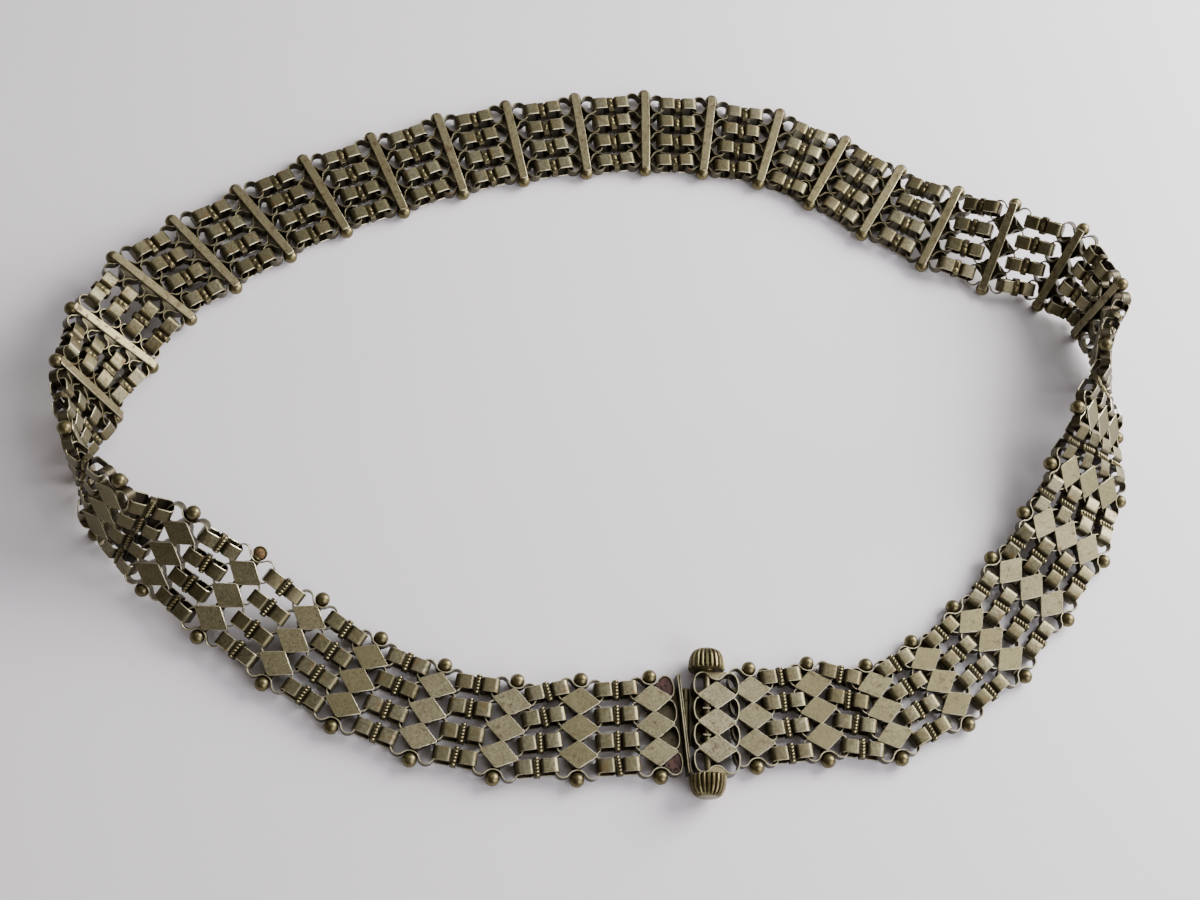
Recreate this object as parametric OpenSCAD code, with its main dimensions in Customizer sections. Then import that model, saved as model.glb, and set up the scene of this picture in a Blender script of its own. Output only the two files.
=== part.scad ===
// Chain belt of forty strip-work crossings lying on a table in a closed ring.
// Each crossing is four figure-8 strips on edge, three diamond plates, a back
// bar and two end balls. Bow links hook four abreast from crossing to
// crossing. A pin with two fluted knobs closes the clasp at the front.
// Millimetres, +Z up, origin at the middle of the footprint.

/* [Crossing] */
// Length along the belt over the loop ends
crossing_length = 14.4; // [12:0.2:16]
// Height of the strips on edge
wall_height = 3.2; // [2:0.1:5]
// Thickness of every bent strip
strip = 0.35; // [0.3:0.05:0.8]
// Distance of the inner links' middle from the centre line
inner_column = 4.05; // [3:0.05:6]
// Distance of the outer links' middle from the centre line
outer_column = 11.6; // [9:0.1:14]
// Distance of each end ball's centre from the centre line
ball_offset = 15.7; // [14:0.1:18]
// Radius of an end ball
ball_radius = 2.3; // [1.5:0.05:3]

/* [Diamonds and bar] */
// Long diagonal of a diamond plate, along the belt
diamond_length = 11.8; // [8:0.1:14]
// Short diagonal of a diamond plate, across the belt
diamond_width = 8.4; // [6:0.1:10]
// Thickness of a diamond plate
diamond_thick = 0.6; // [0.4:0.05:1.2]
// Width of the bar behind a crossing
bar_width = 3.1; // [2:0.1:5]
// Length of the bar behind a crossing
bar_length = 32; // [28:0.5:36]
// Thickness of the bar behind a crossing
bar_thick = 1; // [0.6:0.1:2]

/* [Bow link] */
// Length of a bow link over its ends
link_length = 13.6; // [12:0.1:16]
// Height of a bow link over its flat tops
link_height = 5.6; // [4:0.1:8]
// Width of the strip of a bow link
link_width = 4; // [3:0.1:6]
// Width of the collar across the link
collar_width = 6.2; // [5:0.1:8]
// Length of the collar along the link
collar_length = 2; // [1:0.1:3]
// Height of the collar
collar_height = 3; // [2:0.1:5]

/* [Clasp] */
// Height of the tall wall at the closing crossing
clasp_wall = 5.6; // [4:0.1:8]
// Radius of the pin
pin_radius = 1; // [0.6:0.1:1.6]
// Clearance round the pin
pin_clearance = 0.2; // [0.1:0.05:0.5]
// Distance of the pin from the closing crossing's middle
pin_offset = 2.8; // [1:0.1:5]
// Radius of a fluted knob
knob_radius = 5.75; // [4:0.05:8]
// Length of a fluted knob along the pin
knob_length = 6.6; // [4:0.1:10]
// Distance of the knob's flat face from the middle of the belt
knob_face = 16.5; // [16:0.1:20]
// Number of flutes round a knob
flute_count = 22; // [8:1:30]

/* [Hidden] */
$fn = 48;
meet = 0.4;
clasp_foot = 1.4;
floor_width = 24;
end_wall = 8.2;
end_wall_width = 31;
end_wall_thick = 1.2;
end_wall_height = 5.6;
tongue_reach = 10.2;
tongue_width = 18;
tongue_middle = 3;
tongue_gap = 0.3;
tongue_thick = 0.8;
lug_thick = 0.6;
lug_offset = 4.2;
tongue_clearance = 0.4;
eye_radius = 1.6;
pin_collar_radius = 2.2;
pin_collar_start = 16.2;
pin_overlap = 1;
flute_radius = 0.42;
flute_tilt = 15;
flute_start = 0.2;
flute_offset = 0.2;
resin_middle = [4.3, 11.3];
resin_radius = 1.9;
resin_below = 0.1;
resin_above = 0.7;
seat_height = 3;
seat_below = 0.6;
half_wall = wall_height / 2;
eye = 5.2;
neck_height = 1.4;
neck_start = 0.8;
top_start = 2.2;
end_cut = 0.9;
strip_foot = [3, 14.5];
link_foot = 8;
taut = 14.8;
slack_range = 4;
slide = 0.7;

// Columns across the belt, lower edge first: middle of the column, waist,
// then for the side towards the waist's outside and its inside the distance
// from the waist to the strip, half gap at the waist and shoulder radius.
col_middle = 0; col_waist = 1; col_end_radius = 2; col_out = 3; col_in = 4;
side_reach = 0; side_gap = 1; side_shoulder = 2;
inner_loop = [inner_column, 4.2, 7, [3.66, 0.5, 2], [3.96, 0.5, 2]];
outer_loop = [11.5, 12.6, 7, [2.9, 0.4, 2.2], [4.26, 0.5, 2.2]];
closing_loop = [11.5, 12.6, 7, [3.1, 0.9, 2.4], [4.26, 0.5, 2.2]];
columns = [-outer_column, -inner_column, inner_column, outer_column];

// Course of the belt seen from above, counter-clockwise, one row a crossing:
// x, y, turn away from the line between its neighbours, lean about that line
// (0 is face up, 180 is face down) and lift above the rest height.
X = 0; Y = 1; TURN = 2; LEAN = 3; LIFT = 4;
course = [
    [-88.5, 228, 0, 95, 0], [-87.5, 249.5, 3, 120, 0], [-82, 270, 4, 146, 0.3],
    [-71.5, 290, 5, 164, 1], [-56, 305.5, 4, 174, 0], [-37.5, 319.5, 4, 180, 0],
    [-17.5, 331.5, 2, 180, 0], [3.5, 341, -1, 180, 0], [25, 350, -2, 180, 0],
    [47.5, 356.5, -2, 180, 0], [71, 361, -2, 180, 0], [94, 363.5, -4, 180, 0],
    [116.5, 363, -4, 180, 0], [139, 359.5, -2, 180, 0], [159.5, 350.5, -1, 180, 0],
    [178, 338.5, 0, 178, 0.1], [197.5, 327, -2, 168, 0], [216.5, 318, -2, 147, 0],
    [236, 308, 0, 125, 0], [246.5, 290.5, 0, 98, 0], [245, 270, 0, 72, 0],
    [241.5, 249.5, 0, 46, 0.4], [236, 229.5, 0, 24, 0], [227, 211, 2, 9, 0.5],
    [214, 193.7, -2, 2, 0], [198.5, 175.8, -1, 0, 0], [180.7, 161.9, -2, 0, 0],
    [161.5, 152.4, 3, 0, 0], [140.4, 152.2, 5, 0, 0], [119.8, 150.1, -7, 0, 0],
    [107.6, 147.5, -8, 0, 0], [89, 147, 2, 0, 0], [65.5, 146, -5, 0, 0],
    [43, 145.8, -8, 0, 0], [19.5, 151, -2, 0, 0], [-2, 160, 0, 0, 0],
    [-21.5, 172, 0, 6, 0], [-41, 185, 0, 20, 1], [-59.5, 197, 0, 43, 1],
    [-78, 209.5, 0, 69, 0],
];
count = len(course);
plan_middle = [78.8, 252.9];
closing = 31;
receiving = 32;
joining = 30;

// Points that can touch the table: x, y, z and the radius round them.
feet = [
    for (sy = [-1, 1]) [0, sy * ball_offset, 0, ball_radius],
    for (sx = [-1, 1], sy = [-1, 1])
        [sx * bar_width / 2, sy * bar_length / 2, -half_wall - bar_thick, 0],
    for (sx = [-1, 1], sy = [-1, 1])
        [sx * diamond_length / 2, sy * diamond_width, half_wall + diamond_thick, 0],
    for (sx = [-1, 1], sy = [-1, 1], sz = [-1, 1])
        [sx * strip_foot.x, sy * strip_foot.y, sz * half_wall, 0],
    for (sx = [-1, 1], sy = [-1, 1], sz = [-1, 1])
        [sx * link_foot, sy * (outer_column + 1), sz * link_height / 2, 0],
];
function above(p, lean, slope) =
    (p.y * sin(lean) + p.z * cos(lean)) * cos(slope) - p.x * sin(slope);
function rest(lean, slope) = max([for (f = feet) f[3] - above(f, lean, slope)]);

function row(n) = course[(n + count - 1) % count];
// Vector in plan from the crossing behind to the one ahead.
function ahead(n) = [row(n - 1)[X] - row(n + 1)[X], row(n - 1)[Y] - row(n + 1)[Y]];
function heading(n) = atan2(ahead(n).y, ahead(n).x) + row(n)[TURN];
function level(n) = rest(row(n)[LEAN], 0) + row(n)[LIFT];
// Fall of the travel, from the heights of the neighbours.
function slope(n) = atan2(level(n + 1) - level(n - 1), norm(ahead(n)));
function place(n) = [
    row(n)[X] - plan_middle.x, row(n)[Y] - plan_middle.y,
    rest(row(n)[LEAN], slope(n)) + row(n)[LIFT]];
// Rotates a vector of crossing n's frame into the belt's frame.
function leaned(v, a) = [v.x, v.y * cos(a) - v.z * sin(a), v.y * sin(a) + v.z * cos(a)];
function sloped(v, a) = [v.x * cos(a) + v.z * sin(a), v.y, v.z * cos(a) - v.x * sin(a)];
function headed(v, a) = [v.x * cos(a) - v.y * sin(a), v.x * sin(a) + v.y * cos(a), v.z];
function turned(n, v) = headed(sloped(leaned(v, row(n)[LEAN]), slope(n)), heading(n));
function point(n, p) = place(n) + turned(n, p);
function unit(v) = v / norm(v);

module at_crossing(n) {
    translate(place(n)) rotate([row(n)[LEAN], slope(n), heading(n)]) children();
}

// Points of an arc, from one angle to another in equal steps.
function arc(middle, radius, from, to, steps) = [for (k = [0:steps])
    middle + radius * [cos(from + (to - from) * k / steps),
                       sin(from + (to - from) * k / steps)]];

function shoulder_y(side) = side[side_reach] - side[side_shoulder];
function end_x(loop) = (crossing_length - strip) / 2 - loop[col_end_radius];
// Middle of a shoulder arc; drop is how far the loop's middle lies from the
// waist, counted towards this side.
function shoulder(loop, side, drop) = [
    end_x(loop) + sqrt(pow(loop[col_end_radius] - side[side_shoulder], 2)
        - pow(shoulder_y(side) - drop, 2)),
    shoulder_y(side)];
function notch_radius(s, side) =
    (s.x * s.x + pow(s.y - side[side_gap], 2) - pow(side[side_shoulder], 2))
    / (2 * (side[side_shoulder] + s.y - side[side_gap]));

// Right-hand half of one side of a figure-8, from the middle of the end over
// the shoulder to the waist, moved off its middle line by off.
function half_side(loop, side, drop, off) =
    let (s = shoulder(loop, side, drop), r0 = notch_radius(s, side),
         n = [0, side[side_gap] + r0], tip = atan2(n.y - s.y, s.x),
         e = [end_x(loop), drop], fan = atan2(s.y - e.y, s.x - e.x))
    concat([e + [loop[col_end_radius] + off, 0]],
           arc(s, side[side_shoulder] + off, fan, 180 - tip, 3),
           [[0, side[side_gap] + off]]);
function flipped(points, fx, fy) = [for (p = points) [p.x * fx, p.y * fy]];
// Points from the second last to the second, so that shared ones come once.
function returned(points) = [for (k = [len(points) - 2:-1:1]) points[k]];
function outline(loop, off) =
    let (drop = loop[col_middle] - loop[col_waist],
         a = half_side(loop, loop[col_out], drop, off),
         b = flipped(half_side(loop, loop[col_in], -drop, off), 1, -1))
    concat(a, returned(flipped(a, -1, 1)), flipped(b, -1, 1), returned(b));

// A closed figure-8 of strip on edge round its waist.
module eight(loop, height) {
    translate([0, loop[col_waist], -height / 2]) linear_extrude(height)
        difference() {
            polygon(outline(loop, strip / 2));
            polygon(outline(loop, -strip / 2));
        }
}

module strips(height, outer) {
    for (m = [0, 1]) mirror([0, m, 0]) {
        eight(inner_loop, height);
        eight(outer, height);
    }
}

module diamonds() {
    for (k = [-1, 0, 1]) translate([0, k * diamond_width, 0])
        linear_extrude(diamond_thick)
            polygon([[-diamond_length / 2, 0], [-meet, -diamond_width / 2],
                     [meet, -diamond_width / 2], [diamond_length / 2, 0],
                     [meet, diamond_width / 2], [-meet, diamond_width / 2]]);
}

module back_bar() {
    translate([-bar_width / 2, -bar_length / 2, -bar_thick])
        cube([bar_width, bar_length, bar_thick]);
}

module balls() {
    for (s = [-1, 1]) translate([0, s * ball_offset, 0]) sphere(ball_radius);
}

module crossing() {
    strips(wall_height, outer_loop);
    translate([0, 0, half_wall]) diamonds();
    translate([0, 0, -half_wall]) back_bar();
    balls();
}

// Side view of one lobe of a bow link, from the lower edge of its neck round
// the end to the upper edge; inset is how far inside the outer face it lies.
function lobe(inset) =
    let (x = link_length / 2 - inset, z = link_height / 2 - inset,
         cut = end_cut - inset / 2,
         upper = [[x, z - cut], [x - cut, z], [top_start, z],
                  [neck_start + 1.5 * inset, inset > 0 ? 0 : neck_height / 2]])
    concat([for (k = [inset > 0 ? 2 : 3:-1:0]) [upper[k].x, -upper[k].y]], upper);

module bow() {
    rotate([90, 0, 0]) translate([0, 0, -link_width / 2])
        linear_extrude(link_width) difference() {
            polygon(concat(lobe(0), -lobe(0)));
            polygon(lobe(strip));
            polygon(-lobe(strip));
        }
    translate([-collar_length / 2, -collar_width / 2, -collar_height / 2])
        cube([collar_length, collar_width, collar_height]);
}

// Frame of the bow link between crossing n and the one behind it, on one
// column: middle, direction of travel, across and up. A slack outer link
// slides outwards in its loops.
function eyes(n, y) = [point(n % count + 1, [eye, y, 0]), point(n, [-eye, y, 0])];
function slack(n, y) = let (e = eyes(n, y))
    max(0, min(1, (taut - norm(e[1] - e[0])) / slack_range));
function link_frame(n, column) =
    let (m = n % count + 1,
         y = abs(column) > inner_column
             ? column + sign(column) * slide * slack(n, column) : column,
         e = eyes(n, y), a = e[0], b = e[1],
         u = unit(b - a), up = turned(m, [0, 0, 1]) + turned(n, [0, 0, 1]),
         w = unit(up - (up * u) * u), v = cross(w, u), c = (a + b) / 2)
    [[u.x, v.x, w.x, c.x], [u.y, v.y, w.y, c.y], [u.z, v.z, w.z, c.z], [0, 0, 0, 1]];

// All bow links of one column round the belt, hooked but loose.
module strand(k) {
    for (n = [1:count]) if (n != joining && n != closing)
        multmatrix(link_frame(n, columns[k - 1])) bow();
}

module at_plan(n) {
    translate([place(n).x, place(n).y, 0]) rotate([0, 0, heading(n)]) children();
}

// A rod along the pin's line, in the closing crossing's plan.
module along_pin(radius, from, to) {
    translate([-pin_offset, from, knob_radius]) rotate([-90, 0, 0])
        cylinder(r = radius, h = to - from);
}

// Brass seats in the notches beside the knobs.
module seats() {
    top = clasp_foot + clasp_wall - seat_below;
    for (m = [0, 1]) mirror([0, m, 0])
        translate([0, closing_loop[col_waist], top - seat_height]) linear_extrude(seat_height)
            polygon([[0, 0.9], [2.3, 2.1], [3.4, 2.9], [3.4, 3.3],
                     [-3.4, 3.3], [-3.4, 2.9], [-2.3, 2.1]]);
}

module closing_crossing() {
    difference() {
        union() {
            translate([0, 0, clasp_foot + clasp_wall / 2]) strips(clasp_wall, closing_loop);
            seats();
        }
        along_pin(pin_radius + pin_clearance, -knob_face, knob_face);
    }
    translate([0, 0, clasp_foot + clasp_wall]) diamonds();
    translate([0, 0, clasp_foot]) back_bar();
}

module clasp_right() {
    at_crossing(joining) crossing();
    at_plan(closing) closing_crossing();
}

// Flat tongue with two eyes that the pin passes through.
module tongue() {
    stop = -bar_width / 2 - tongue_clearance;
    translate([-tongue_reach, tongue_middle - tongue_width / 2, tongue_gap])
        cube([tongue_reach + stop, tongue_width, tongue_thick]);
    for (y = [-lug_offset, lug_offset]) difference() {
        union() {
            translate([-pin_offset - eye_radius, y - lug_thick / 2, tongue_gap])
                cube([stop + pin_offset + eye_radius, lug_thick, knob_radius - tongue_gap]);
            along_pin(eye_radius, y - lug_thick / 2, y + lug_thick / 2);
        }
        along_pin(pin_radius + pin_clearance, y - eye_radius, y + eye_radius);
    }
}

module clasp_left() {
    at_crossing(receiving) {
        crossing();
        translate([bar_width / 2, -floor_width / 2, -half_wall - bar_thick])
            cube([end_wall - bar_width / 2, floor_width, bar_thick]);
        translate([end_wall, -end_wall_width / 2, -half_wall - bar_thick])
            cube([end_wall_thick, end_wall_width, end_wall_height]);
    }
    at_plan(closing) tongue();
}

// Dark resin set in the two outer loops beside the end wall.
module resin() {
    at_crossing(receiving) for (s = [-1, 1])
        translate([resin_middle.x, s * resin_middle.y, -half_wall + resin_below])
            cylinder(r = resin_radius, h = wall_height - resin_below - resin_above);
}

module knob() {
    difference() {
        rotate_extrude() polygon([[0, 0], [5.4, 0], [knob_radius, 0.5], [5.6, 2.6],
            [5.2, 4.4], [4.3, 5.9], [3.2, knob_length], [0, knob_length]]);
        for (k = [0:flute_count - 1]) rotate([0, 0, k * 360 / flute_count])
            translate([knob_radius + flute_offset, 0, flute_start])
                rotate([0, -flute_tilt, 0])
                    cylinder(r = flute_radius, h = knob_length, $fn = 6);
    }
}

module clasp_pin() {
    at_plan(closing) {
        along_pin(pin_radius, -knob_face - pin_overlap, knob_face + pin_overlap);
        for (m = [0, 1]) mirror([0, m, 0]) {
            along_pin(pin_collar_radius, pin_collar_start, knob_face + pin_overlap / 2);
            translate([-pin_offset, knob_face, knob_radius]) rotate([-90, 0, 0]) knob();
        }
    }
}

metal = "#9a9072";
dark_resin = "#6b3a2c";

color(metal) at_crossing(1) crossing();  // crossing_01
color(metal) at_crossing(2) crossing();  // crossing_02
color(metal) at_crossing(3) crossing();  // crossing_03
color(metal) at_crossing(4) crossing();  // crossing_04
color(metal) at_crossing(5) crossing();  // crossing_05
color(metal) at_crossing(6) crossing();  // crossing_06
color(metal) at_crossing(7) crossing();  // crossing_07
color(metal) at_crossing(8) crossing();  // crossing_08
color(metal) at_crossing(9) crossing();  // crossing_09
color(metal) at_crossing(10) crossing();  // crossing_10
color(metal) at_crossing(11) crossing();  // crossing_11
color(metal) at_crossing(12) crossing();  // crossing_12
color(metal) at_crossing(13) crossing();  // crossing_13
color(metal) at_crossing(14) crossing();  // crossing_14
color(metal) at_crossing(15) crossing();  // crossing_15
color(metal) at_crossing(16) crossing();  // crossing_16
color(metal) at_crossing(17) crossing();  // crossing_17
color(metal) at_crossing(18) crossing();  // crossing_18
color(metal) at_crossing(19) crossing();  // crossing_19
color(metal) at_crossing(20) crossing();  // crossing_20
color(metal) at_crossing(21) crossing();  // crossing_21
color(metal) at_crossing(22) crossing();  // crossing_22
color(metal) at_crossing(23) crossing();  // crossing_23
color(metal) at_crossing(24) crossing();  // crossing_24
color(metal) at_crossing(25) crossing();  // crossing_25
color(metal) at_crossing(26) crossing();  // crossing_26
color(metal) at_crossing(27) crossing();  // crossing_27
color(metal) at_crossing(28) crossing();  // crossing_28
color(metal) at_crossing(29) crossing();  // crossing_29
color(metal) at_crossing(33) crossing();  // crossing_33
color(metal) at_crossing(34) crossing();  // crossing_34
color(metal) at_crossing(35) crossing();  // crossing_35
color(metal) at_crossing(36) crossing();  // crossing_36
color(metal) at_crossing(37) crossing();  // crossing_37
color(metal) at_crossing(38) crossing();  // crossing_38
color(metal) at_crossing(39) crossing();  // crossing_39
color(metal) at_crossing(40) crossing();  // crossing_40
color(metal) clasp_right();
color(metal) clasp_left();
color(dark_resin) resin();  // clasp_resin
color(metal) clasp_pin();
color(metal) strand(1);  // links_1
color(metal) strand(2);  // links_2
color(metal) strand(3);  // links_3
color(metal) strand(4);  // links_4
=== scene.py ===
"""Looks of a strip-work chain belt that lies on a table in a closed ring.

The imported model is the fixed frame. Every crossing, bow link and clasp piece is
modelled again here in finer detail in the place of its solid, dressed in aged
nickel silver, and the camera stands where the photograph was taken from.
"""

import logging
import math
import random
from dataclasses import dataclass, field
from enum import Enum
from typing import Callable, Optional, Sequence

import bmesh
import bpy
from mathutils import Matrix, Vector

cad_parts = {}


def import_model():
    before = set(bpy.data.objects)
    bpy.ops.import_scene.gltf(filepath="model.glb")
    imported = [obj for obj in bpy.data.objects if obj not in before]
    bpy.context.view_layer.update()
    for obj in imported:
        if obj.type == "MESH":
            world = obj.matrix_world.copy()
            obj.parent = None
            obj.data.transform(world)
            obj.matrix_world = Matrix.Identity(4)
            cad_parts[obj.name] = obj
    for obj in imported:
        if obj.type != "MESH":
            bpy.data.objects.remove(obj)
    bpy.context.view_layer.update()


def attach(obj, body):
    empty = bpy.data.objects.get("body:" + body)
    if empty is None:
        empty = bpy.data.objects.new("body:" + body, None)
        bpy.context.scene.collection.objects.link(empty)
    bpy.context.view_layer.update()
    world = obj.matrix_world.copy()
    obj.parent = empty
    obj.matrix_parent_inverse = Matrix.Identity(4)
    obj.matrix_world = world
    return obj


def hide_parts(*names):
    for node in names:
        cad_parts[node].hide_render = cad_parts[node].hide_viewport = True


LOG = logging.getLogger("belt")
MM = 0.001
BODY = "root"
SEED = 11
SHARP = 38.0  # least turn of an edge that isn't smoothed, in degrees
Line = list[Vector]
Mesh = bpy.types.Mesh
# A face's value of wear and painted shade, from its middle and its normal.
WearAndShade = Callable[[Vector, Vector], float]


class Finish(Enum):
    """The surfaces of the belt, in the order of every piece's material slots."""

    STRIP = 0
    PLATE = 1
    BAR = 2
    BRASS = 3
    RESIN = 4
    RUST = 5


# Places of the crossings, the same table as in the part's source.


@dataclass(frozen=True)
class Row:
    """One crossing of the belt as it lies, in millimetres and degrees.

    x and y are its middle in plan, turn is the turn away from the line between
    its neighbours, lean the roll about that line (0 is face up) and lift the
    height above its rest.
    """

    x: float
    y: float
    turn: float
    lean: float
    lift: float


COURSE = tuple(Row(*values) for values in (
    (-88.5, 228, 0, 95, 0), (-87.5, 249.5, 3, 120, 0), (-82, 270, 4, 146, 0.3),
    (-71.5, 290, 5, 164, 1), (-56, 305.5, 4, 174, 0), (-37.5, 319.5, 4, 180, 0),
    (-17.5, 331.5, 2, 180, 0), (3.5, 341, -1, 180, 0), (25, 350, -2, 180, 0),
    (47.5, 356.5, -2, 180, 0), (71, 361, -2, 180, 0), (94, 363.5, -4, 180, 0),
    (116.5, 363, -4, 180, 0), (139, 359.5, -2, 180, 0), (159.5, 350.5, -1, 180, 0),
    (178, 338.5, 0, 178, 0.1), (197.5, 327, -2, 168, 0), (216.5, 318, -2, 147, 0),
    (236, 308, 0, 125, 0), (246.5, 290.5, 0, 98, 0), (245, 270, 0, 72, 0),
    (241.5, 249.5, 0, 46, 0.4), (236, 229.5, 0, 24, 0), (227, 211, 2, 9, 0.5),
    (214, 193.7, -2, 2, 0), (198.5, 175.8, -1, 0, 0), (180.7, 161.9, -2, 0, 0),
    (161.5, 152.4, 3, 0, 0), (140.4, 152.2, 5, 0, 0), (119.8, 150.1, -7, 0, 0),
    (107.6, 147.5, -8, 0, 0), (89, 147, 2, 0, 0), (65.5, 146, -5, 0, 0),
    (43, 145.8, -8, 0, 0), (19.5, 151, -2, 0, 0), (-2, 160, 0, 0, 0),
    (-21.5, 172, 0, 6, 0), (-41, 185, 0, 20, 1), (-59.5, 197, 0, 43, 1),
    (-78, 209.5, 0, 69, 0),
))
PLAN_MIDDLE = Vector((78.8, 252.9))
JOINING, CLOSING, RECEIVING = 30, 31, 32
BROKEN = 38


@dataclass(frozen=True)
class Side:
    """One side of a figure-8 strip: how far it reaches from its waist, half the
    gap at the waist and the radius of its shoulders, in millimetres."""

    reach: float
    gap: float
    shoulder: float


@dataclass(frozen=True)
class Eight:
    """A figure-8 of strip on edge: middle of its column, waist, end radius and
    the side away from and towards the belt's centre line."""

    middle: float
    waist: float
    end_radius: float
    outside: Side
    inside: Side


@dataclass(frozen=True)
class Sizes:
    """Driving sizes of the crossings and links, in millimetres."""

    crossing_length: float = 14.4
    wall: float = 3.2
    tall_wall: float = 5.6
    strip: float = 0.42
    inner_column: float = 4.05
    outer_column: float = 11.6
    ball_offset: float = 15.7
    ball_radius: float = 2.3
    plate_length: float = 11.8
    plate_width: float = 8.4
    plate_thick: float = 0.6
    bar_width: float = 3.1
    bar_length: float = 32.0
    bar_thick: float = 1.0
    link_length: float = 13.6
    link_height: float = 5.6
    link_width: float = 4.4
    eye: float = 5.2
    taut: float = 14.8
    slack_range: float = 4.0
    slide: float = 0.7
    shoulder_x: float = 3.0
    shoulder_y: float = 14.5
    link_x: float = 8.0
    inner_eight: Eight = Eight(4.05, 4.2, 7.0, Side(3.66, 0.5, 2.0), Side(3.96, 0.5, 2.0))
    outer_eight: Eight = Eight(11.5, 12.6, 7.0, Side(2.9, 0.4, 2.2), Side(4.26, 0.5, 2.2))
    closing_eight: Eight = Eight(11.5, 12.6, 7.0, Side(3.1, 0.9, 2.4), Side(4.26, 0.5, 2.2))

    @property
    def half_wall(self) -> float:
        """Half the height of the strips on edge."""
        return self.wall / 2


SIZES = Sizes()


def wave(degrees: float) -> tuple[float, float]:
    """Returns the sine and cosine of an angle in degrees."""
    return math.sin(math.radians(degrees)), math.cos(math.radians(degrees))


def turned(degrees: float, axis: str) -> Matrix:
    """Returns a turn about an axis."""
    return Matrix.Rotation(math.radians(degrees), 4, axis)


def moved(x: float, y: float, z: float) -> Matrix:
    """Returns a move."""
    return Matrix.Translation((x, y, z))


def flipped(side: float) -> Matrix:
    """Returns a mirroring across the belt's centre line where side is -1."""
    return Matrix.Diagonal((1.0, side, 1.0, 1.0))


def in_scene(name: str, data: bpy.types.ID) -> bpy.types.Object:
    """Makes an object of a mesh, light or camera and links it to the scene."""
    made = bpy.data.objects.new(name, data)
    bpy.context.scene.collection.objects.link(made)
    return made


class Course:
    """Works out where each crossing and link lies from the table of places."""

    def __init__(self, sizes: Sizes) -> None:
        """Keeps the sizes and lists the points that can touch the table."""
        self.sizes = s = sizes
        signs = (-1, 1)
        self.feet = [(0.0, y * s.ball_offset, 0.0, s.ball_radius) for y in signs]
        corners = [(s.bar_width / 2, s.bar_length / 2, -s.half_wall - s.bar_thick),
                   (s.plate_length / 2, s.plate_width, s.half_wall + s.plate_thick)]
        for z in signs:
            corners += [(s.shoulder_x, s.shoulder_y, z * s.half_wall),
                        (s.link_x, s.outer_column + 1, z * s.link_height / 2)]
        self.feet += [(kx * x, ky * y, z, 0.0) for x, y, z in corners for kx in signs for ky in signs]

    @staticmethod
    def row(n: int) -> Row:
        """Returns the row of crossing n, counted round the ring from 1."""
        return COURSE[(n - 1) % len(COURSE)]

    def ahead(self, n: int) -> Vector:
        """Returns the plan vector from the crossing behind n to the one ahead."""
        a, b = self.row(n - 1), self.row(n + 1)
        return Vector((a.x - b.x, a.y - b.y))

    def rest(self, lean: float, slope: float) -> float:
        """Returns the height of a crossing's middle when it just touches the table."""
        sin_l, cos_l = wave(lean)
        sin_s, cos_s = wave(slope)
        return max(r - ((y * sin_l + z * cos_l) * cos_s - x * sin_s) for x, y, z, r in self.feet)

    def level(self, n: int) -> float:
        """Returns crossing n's height without its slope."""
        return self.rest(self.row(n).lean, 0.0) + self.row(n).lift

    def heading(self, n: int) -> float:
        """Returns the direction of travel at crossing n, in degrees."""
        a = self.ahead(n)
        return math.degrees(math.atan2(a.y, a.x)) + self.row(n).turn

    def slope(self, n: int) -> float:
        """Returns the fall of the travel at crossing n, in degrees."""
        fall = self.level(n + 1) - self.level(n - 1)
        return math.degrees(math.atan2(fall, self.ahead(n).length))

    def frame(self, n: int) -> Matrix:
        """Returns the frame of crossing n in millimetres: x is the travel, y runs
        across the belt and z is its front."""
        row, slope = self.row(n), self.slope(n)
        height = self.rest(row.lean, slope) + row.lift
        place = moved(row.x - PLAN_MIDDLE.x, row.y - PLAN_MIDDLE.y, height)
        return place @ turned(self.heading(n), "Z") @ turned(slope, "Y") @ turned(row.lean, "X")

    def plan(self, n: int) -> Matrix:
        """Returns crossing n's frame on the table, turned by its heading only."""
        row = self.row(n)
        place = moved(row.x - PLAN_MIDDLE.x, row.y - PLAN_MIDDLE.y, 0.0)
        return place @ turned(self.heading(n), "Z")

    def eyes(self, n: int, y: float) -> tuple[Vector, Vector]:
        """Returns the two points that the link between n and the crossing behind
        it hangs on, on the column at y."""
        eye, behind = self.sizes.eye, n % len(COURSE) + 1
        return self.frame(behind) @ Vector((eye, y, 0)), self.frame(n) @ Vector((-eye, y, 0))

    def link_frame(self, n: int, column: float) -> Matrix:
        """Returns the frame of the bow link between crossing n and the one behind
        it, on the column at a distance from the belt's centre line."""
        s, y = self.sizes, column
        if abs(column) > s.inner_column:
            a, b = self.eyes(n, column)
            slack = min(1.0, max(0.0, (s.taut - (b - a).length) / s.slack_range))
            y += math.copysign(s.slide * slack, column)
        a, b = self.eyes(n, y)
        along = (b - a).normalized()
        front = self.frame(n % len(COURSE) + 1).col[2].to_3d() + self.frame(n).col[2].to_3d()
        up = (front - along * front.dot(along)).normalized()
        across = up.cross(along)
        return moved(*(a + b) / 2) @ Matrix((along, across, up)).transposed().to_4x4()


# Outlines of bent strip, in millimetres.


def arc(middle: Vector, radius: float, start: float, end: float, steps: int) -> Line:
    """Returns points of an arc in equal steps from one angle to another, in degrees."""
    angles = [math.radians(start + (end - start) * k / steps) for k in range(steps + 1)]
    return [middle + radius * Vector((math.cos(a), math.sin(a))) for a in angles]


def mirrored(points: Sequence[Vector], fx: float, fy: float) -> Line:
    """Returns points scaled by fx and fy, which are 1 or -1."""
    return [Vector((p.x * fx, p.y * fy)) for p in points]


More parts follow.
